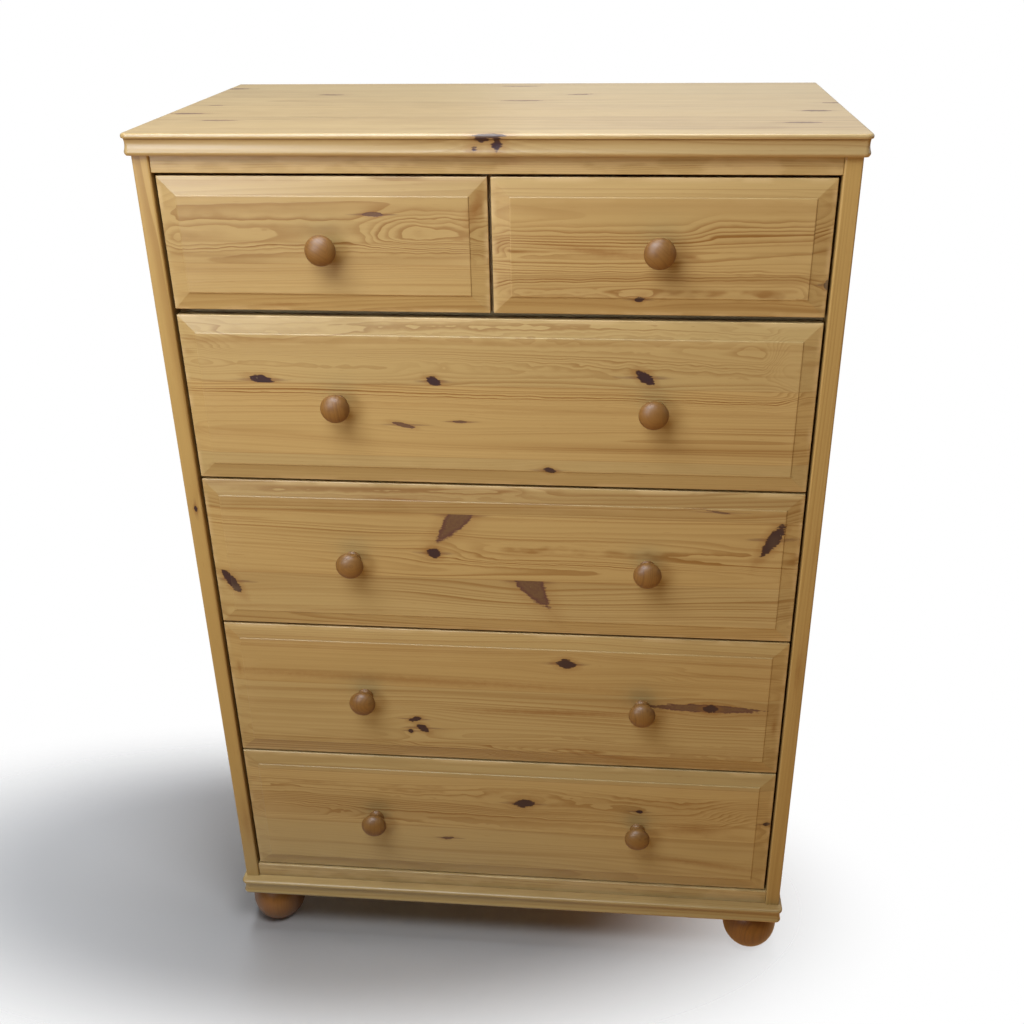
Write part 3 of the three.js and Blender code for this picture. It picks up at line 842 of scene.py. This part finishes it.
def screw_mesh(head_radius, head_height, shank_radius, shank_length, dome):
    """A cross-head screw along +Z: its head is above z = 0 if domed, or sunk below it if flat."""
    lift = head_height if dome else 0.0
    under = 0.0 if dome else -head_height
    profile = [(0, -shank_length), (shank_radius * 0.4, -shank_length)]
    profile += [(shank_radius, -shank_length * 0.8), (shank_radius, under - 0.2 * MM)]
    if dome:
        profile.append((head_radius, 0.0))
        profile += arc((0, 0), (head_radius, head_height), 15, 80, 6)
    else:
        profile += [(head_radius, -0.3 * MM), (head_radius - 0.15 * MM, 0.0)]
    profile.append((0, lift))
    arm, slit, depth = head_radius * 0.55, head_radius * 0.11, head_height * 0.6
    crosses = [block_mesh((-arm, -slit, lift - depth), (arm, slit, lift + depth)),
               block_mesh((-slit, -arm, lift - depth), (slit, arm, lift + depth))]
    return cut(lathe(profile, SCREW_SEGMENTS), crosses)


def put_screw(name, source, head, direction, body):
    """A copy of a screw with its head at a point, and facing along a direction."""
    turn = Vector(direction).to_track_quat("Z", "Y").to_matrix().to_4x4()
    made = source.copy()
    made.transform(Matrix.Translation(head) @ turn)
    finish_mesh(name, made, STEEL, body)


def make_runner(name, x, outward, seed, height):
    """One strip that a drawer slides on, on the face at x, with the two screws that hold it."""
    divider_low, divider_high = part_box("centre_divider")
    front, rear = divider_low.y, divider_high.y
    far = x + outward * RUNNER["width"]
    low = (min(x, far), front, height - RUNNER["height"] / 2)
    high = (max(x, far), rear, height + RUNNER["height"] / 2)
    strip = softened(block_mesh(low, high), BOARD_ARRIS)
    middle = [(low[axis] + high[axis]) / 2 for axis in range(3)]
    look = pine(f"box_pine_{name}", "box_pine", "deep", middle, seed * 1.11)
    finish_mesh(name, strip, look, "carcass")
    for end, y in (("front", front + RUNNER["screw_inset"]), ("rear", rear - RUNNER["screw_inset"])):
        head = (far, y, height)
        put_screw(f"{name}_{end}_screw", RUNNER_SCREW, head, (outward, 0, 0), "carcass")


def make_divider():
    low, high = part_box("centre_divider")
    half = DIVIDER_THICKNESS / 2
    board = softened(block_mesh((-half, low.y, low.z), (half, high.y, high.z)), BOARD_ARRIS)
    look = plain_pine("centre_divider", "box_pine", "deep", 31, 2)
    finish_mesh("centre_divider_board", board, look, "carcass", ["centre_divider"])


def make_runners():
    _, side_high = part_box("right_side_panel")
    inner = side_high.x - SIDE_THICKNESS
    half = DIVIDER_THICKNESS / 2
    seed = 40
    for drawer in DRAWERS:
        for side, sign in (("left", -1), ("right", 1)):
            height = middle_of(f"{drawer}_{side}_side").z
            on_divider = drawer in SHORT_DRAWERS and side not in drawer
            seed += 1
            if on_divider:
                make_runner(f"{drawer}_inner_runner", -sign * half, -sign, seed, height)
            else:
                make_runner(f"{drawer}_{side}_runner", sign * inner, -sign, seed, height)


def foot_names(prefix):
    return [f"{prefix}_{end}_{side}" for end in ("front", "rear") for side in ("left", "right")]


def make_feet():
    """Bun feet, turned, with a flat sole and a hole for the bolt."""
    half = FOOT["height"] / 2
    flat = math.degrees(math.asin(FOOT["sole"] / FOOT["radius"]))
    tall = half / math.cos(math.radians(flat))
    bun = arc((0, half), (FOOT["radius"], tall), flat - 90, 90 - flat, 36)
    floor = FOOT["height"] - FOOT["hole_depth"]
    profile = [(0, 0), (FOOT["sole"] * 0.5, 0), (FOOT["sole"] - 1 * MM, 0)] + bun
    profile += [(FOOT["hole"], FOOT["height"]), (FOOT["hole"], floor), (0, floor)]
    for index, name in enumerate(foot_names("foot")):
        place = middle_of(name)
        foot = lathe(profile, TURNED_SEGMENTS, Matrix.Translation((place.x, place.y, 0)))
        look = pine(f"foot_pine_{name}", "foot_pine", "post", place, 5.3 + index * 2.9)
        finish_mesh(f"{name}_bun", foot, look, "carcass", [name])
    for name in foot_names("foot_bolt"):    # the bolts stay as CAD made them, but for their material
        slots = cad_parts[name].data.materials
        slots.clear()
        slots.append(STEEL)


def make_plain_carcass():
    """The straight rails and the back panel, softened at their arrises."""
    for node in ("frieze_rail", "bottom_rail"):
        soften_node(node, board_pine(node, "carcass_pine", "front"), "carcass")
    hidden = {"cross_rail_front": "flat", "cross_rail_rear": "flat", "rear_top_rail": "front",
              "rear_bottom_rail": "front"}
    for seed, (node, grain) in enumerate(hidden.items(), start=21):
        soften_node(node, plain_pine(node, "box_pine", grain, seed), "carcass")
    soften_node("back_panel", hardboard(), "carcass", "sheet")


def make_back_pins():
    """Panel pins along the two rear rails, with their heads just proud of the hardboard."""
    _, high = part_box("back_panel")
    for rail in ("rear_top_rail", "rear_bottom_rail"):
        rail_low, rail_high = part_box(rail)
        height = (rail_low.z + rail_high.z) / 2
        for index in range(BACK_PINS_PER_RAIL):
            x = rail_low.x + (rail_high.x - rail_low.x) * (index + 0.5) / BACK_PINS_PER_RAIL
            put_screw(f"{rail}_pin_{index + 1}", BACK_PIN, (x, high.y, height), (0, 1, 0), "carcass")


# ---- The pieces of the drawers ----

# Painted shade darkens the edges of the fronts that face a gap; it is painted fainter on the fronts of
# two drawers.
GAP_SHADE = dict.fromkeys(DRAWERS, 1.0) | {"long_drawer_2": 0.3, "long_drawer_4": 0.3}


def front_section(depth, gap_shade):
    """A front's section as (inset, depth from the face, mark), from the rear face to the field. The
    edges that face a gap are marked for painted shade, the arrises for wear and a painted highlight.
    """
    arris, step = FRONT["arris"], FRONT["step"]
    width, fall = FRONT["bevel_width"], FRONT["bevel_depth"]
    slope = fall / width
    section = [(0.5 * MM, depth, 0.3), (0, depth - 0.5 * MM, -gap_shade)]
    section.append((0, step + fall + arris + 2 * MM, -gap_shade))
    edge = bend((0, step + fall + arris), (0, step + fall), (arris, step + fall - slope * arris), 4)
    section += [(inset, back, 1.0) for inset, back in edge]
    section.append((width * 0.5, step + fall * 0.5, 0.0))
    # The foot of the bevel and the quirk are marked for painted shade, the field's arris for wear and a
    # painted highlight.
    section.append((width - 0.5 * MM, step + slope * 0.5 * MM, -0.3))
    quirk = bend((width, step), (width + 0.1 * MM, 0), (width + FRONT["field_arris"], 0), 5)
    section += [(inset, back, -0.4 if index == 0 else 0.5) for index, (inset, back) in enumerate(quirk)]
    return section


def make_front(drawer):
    """A raised and fielded front with mitred bevels, the bottom's groove and the knobs' screw holes."""
    node = f"{drawer}_front"
    low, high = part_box(node)
    rings, wear_and_shade_rings = [], []
    for inset, back, wear_and_shade in front_section(high.y - low.y, GAP_SHADE[drawer]):
        ring = rectangle((low.x + inset, low.z + inset), (high.x - inset, high.z - inset),
                         FRONT["corner"])
        rings.append([(x, low.y + back, z) for x, z in ring])
        wear_and_shade_rings.append(wear_and_shade)
    ply_low, ply_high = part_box(f"{drawer}_bottom")
    slack = PLY_GROOVE["slack"]
    cutters = [block_mesh((ply_low.x - slack, high.y - PLY_GROOVE["depth"], ply_low.z - slack),
                          (ply_high.x + slack, high.y + OVERSHOOT, ply_high.z + slack))]
    for knob in knobs_of(drawer):
        place = middle_of(knob)
        along = facing_front(place.x, high.y + OVERSHOOT, place.z)
        cutters.append(drill(KNOB_HOLE_RADIUS, high.y - low.y + 2 * OVERSHOOT, along))
    front = cut(loft(rings, wear_and_shade_rings), cutters)
    seed = DRAWERS.index(drawer) * 3.1 + 2.6
    look = pine(f"front_pine_{drawer}", "front_pine", "front", middle_of(node), seed, KNOTS[drawer],
                SWIRLS.get(drawer, ()), JOINTS[drawer])
    finish_mesh(f"{drawer}_fielded_front", front, look, drawer, [node])


def knobs_of(drawer):
    sides = ("",) if drawer in SHORT_DRAWERS else ("left_", "right_")
    return [f"{drawer}_{side}knob" for side in sides]


def knob_profile():
    """A flange, a waisted neck and a domed mushroom head, as (radius, height)."""
    flange, neck, length = KNOB["flange"], KNOB["neck"], KNOB["length"]
    widest = length * KNOB_WIDEST
    dome = length - widest
    profile = [(0, 0), (flange, 0)]
    profile += arc((flange - 0.5 * MM, 1.2 * MM), (0.9 * MM, 1.2 * MM), -60, 90, 6)
    profile += bend((flange - 1.4 * MM, 3 * MM), (neck - 1.2 * MM, length * 0.24),
                    (flange - 0.8 * MM, length * 0.36), 12)
    profile += arc((0, widest), (KNOB["radius"], dome * 0.92), -50, 0, 12)[1:]
    profile += arc((0, widest), (KNOB["radius"], dome), 0, 87, 22)[1:]
    profile.append((0, length))
    return profile


def make_knobs(drawer):
    _, front_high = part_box(f"{drawer}_front")
    for knob in knobs_of(drawer):
        _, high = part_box(knob)
        place = middle_of(knob)
        head = lathe(knob_profile(), TURNED_SEGMENTS, facing_front(place.x, high.y, place.z))
        seed = 3.7 + (place.x + 2 * place.z) * 11
        look = pine(f"knob_pine_{knob}", "knob_pine", "turned", place + KNOB_GRAIN_OFFSET, seed)
        finish_mesh(f"{knob}_turned", head, look, drawer, [knob])
        put_screw(f"{knob}_screw", KNOB_SCREW, (place.x, front_high.y, place.z), (0, 1, 0), drawer)


def make_box(drawer):
    """The drawer's box: two grooved sides, a back and a plywood bottom."""
    first = 60 + DRAWERS.index(drawer) * 5
    grains = {"left_side": "deep", "right_side": "deep", "back": "front"}
    for seed, (part, grain) in enumerate(grains.items(), start=first):
        node = f"{drawer}_{part}"
        soften_node(node, plain_pine(node, "box_pine", grain, seed), drawer)
    node = f"{drawer}_bottom"
    look = plain_pine(node, "drawer_ply", "flat", first + 4, 0)
    soften_node(node, look, drawer, "sheet")


# ---- Studio ----

CAMERA = {"place": (0.1635, -1.5454, 1.4883), "target": (0.0382, -0.208, 0.8329), "roll": -0.852,
          "lens": 40.0, "shift": (-0.0129, -0.0303)}
FLOOR_RADIUS = 3.0
FLOOR_MIDDLE = (-0.35, -0.10)
FLOOR_PATCH = (0.85, 0.36)        # half sizes of the ellipse of floor that shows its shading
FLOOR_FADE = (0.55, 1.2)          # it fades into white paper between these multiples of that ellipse
PAPER_WHITE = (1.0, 1.0, 1.0, 1.0)
BELOW_COLOUR = (0.74, 0.39, 0.10, 1.0)    # light that comes up from the room's own floor, all round
WALL_LEVELS = (0.48, 0.86)        # the left and the right part of the pale wall behind the chest
ROOM_LEVEL = 0.030                # light from the rest of the dim room
Light = namedtuple("Light", "name place target width height power spread color")
LIGHTS = [
    Light("front_softbox", (-0.5, -1.0, 2.3), (0.0, -0.2, 1.2), 1.3, 0.9, 36.0, 180, (0.92, 1.0, 1.14)),
    Light("left_softbox", (-1.2, -1.9, 1.5), (0.0, -0.2, 0.8), 0.9, 0.9, 8.0, 120, (0.90, 1.0, 1.14)),
    Light("side_softbox", (3.0, 0.5, 1.9), (-0.4, -0.2, 0.0), 2.0, 2.0, 14.0, 180, (1.0, 1.0, 1.0)),
    Light("overhead_softbox", (0.0, 0.3, 3.4), (0.0, 0.2, 0.0), 1.6, 1.2, 56.0, 180, (0.95, 1.0, 1.07)),
    Light("rear_softbox", (0.4, 2.6, 0.7), (0.0, 0.2, 0.7), 1.2, 1.0, 14.0, 180, (1.0, 1.0, 1.0)),
    Light("floor_softbox", (0.7, -1.3, 3.0), (-0.3, -0.5, 0.0), 1.0, 1.0, 18.0, 180, (0.97, 1.0, 1.04)),
]
# How the softboxes light the floor. Those that aren't named light it as they light the chest.
FLOOR_LINKS = {"front_softbox": "EXCLUDE", "left_softbox": "EXCLUDE", "rear_softbox": "EXCLUDE",
               "floor_softbox": "INCLUDE"}


def aimed(place, target, roll=0.0):
    """Where a camera or a light stands and how it is turned, as a matrix. The roll is in degrees."""
    aim = (Vector(target) - Vector(place)).to_track_quat("-Z", "Y")
    turn = Quaternion((0, 0, 1), math.radians(roll))
    return Matrix.Translation(place) @ (aim @ turn).to_matrix().to_4x4()


def make_camera():
    data = bpy.data.cameras.new("camera")
    data.lens = CAMERA["lens"]
    data.shift_x, data.shift_y = CAMERA["shift"]
    camera = add_object("camera", data)
    camera.matrix_world = aimed(CAMERA["place"], CAMERA["target"], CAMERA["roll"])
    bpy.context.scene.camera = camera


def make_lights(floor):
    """The softboxes. Some leave the floor out and one lights nothing else, so that the shadow on the
    floor is set apart from the light on the chest."""
    linked = {}
    for state in ("EXCLUDE", "INCLUDE"):
        linked[state] = bpy.data.collections.new(f"floor {state.lower()}")
        linked[state].objects.link(floor)
        linked[state].collection_objects[0].light_linking.link_state = state
    for light in LIGHTS:
        data = bpy.data.lights.new(light.name, "AREA")
        data.shape = "RECTANGLE"
        data.size, data.size_y = light.width, light.height
        data.energy = light.power
        data.spread = math.radians(light.spread)
        data.color = light.color
        lamp = add_object(light.name, data)
        if light.name in FLOOR_LINKS:
            lamp.light_linking.receiver_collection = linked[FLOOR_LINKS[light.name]]
        lamp.matrix_world = aimed(light.place, light.target)


def make_sky():
    """Plain studio surroundings: white paper behind, and a dim room with one pale wall as the light."""
    world = bpy.data.worlds.new("studio")
    bpy.context.scene.world = world
    world.use_nodes = True
    world.node_tree.nodes.clear()
    graph = Graph(world.node_tree)
    aside, behind, up = graph.split(graph.node("TexCoord").outputs["Generated"])
    wall = behind.ramp(0.35, 0.75) * up.ramp(0.06, 0.20) * up.ramp(0.85, 0.55)
    wall_part = aside.ramp(-0.14, -0.09, *WALL_LEVELS)
    above = wall * wall_part + ROOM_LEVEL
    room = graph.mix(up.ramp(-0.4, -0.1), BELOW_COLOUR, graph.join(above, above, above))
    seen = graph.node("LightPath").outputs["Is Camera Ray"]
    sky = graph.node("Background", {"Color": graph.mix(seen, room, PAPER_WHITE)})
    output = graph.node("OutputWorld")
    graph.feed(output.inputs["Surface"], sky.outputs[0])


def make_floor():
    """A plain pale floor that fades into the white paper behind the chest."""
    made, graph, shader = new_material("pale_floor")
    x, y, _ = object_place(graph)
    speckle = graph.noise(x * 3, y * 3, 0.0, 3.0)
    shade = speckle * 0.03 + 0.90
    graph.feed(shader.inputs["Base Color"], graph.join(shade, shade, shade))
    shader.inputs["Roughness"].default_value = 0.75
    across, deep = x / FLOOR_PATCH[0], y / FLOOR_PATCH[1]
    reach = (across * across + deep * deep).root()
    paper = graph.node("MixShader", {0: reach.ramp(*FLOOR_FADE), 1: shader.outputs[0],
                                     2: graph.node("BsdfTransparent").outputs[0]})
    output = next(node for node in made.node_tree.nodes if node.type == "OUTPUT_MATERIAL")
    graph.feed(output.inputs["Surface"], paper.outputs[0])
    work = bmesh.new()
    bmesh.ops.create_circle(work, cap_ends=True, radius=FLOOR_RADIUS, segments=96)
    floor = add_object("floor", mesh_from(work, "floor"))
    floor.data.materials.append(made)
    floor.location.xy = FLOOR_MIDDLE
    return floor


# ---- Building ----

KNOT_GROUP = make_knot_group()
SWIRL_GROUP = make_swirl_group()
PINE_GROUP = make_pine_group()
STEEL = steel()
RUNNER_SCREW = screw_mesh(3.6 * MM, 2.2 * MM, 1.7 * MM, 24 * MM, dome=False)
KNOB_SCREW = screw_mesh(4.2 * MM, 2.4 * MM, 2.0 * MM, 30 * MM, dome=True)
BACK_PIN = screw_mesh(1.6 * MM, 0.5 * MM, 0.7 * MM, 16 * MM, dome=True)

make_camera()
make_sky()
make_lights(make_floor())

make_boards()
make_side("left_side_panel", -1)
make_side("right_side_panel", 1)
make_plain_carcass()
make_divider()
make_runners()
make_feet()
make_back_pins()
for drawer_name in DRAWERS:
    make_front(drawer_name)
    make_box(drawer_name)
    make_knobs(drawer_name)

bpy.context.scene.view_settings.view_transform = "Standard"
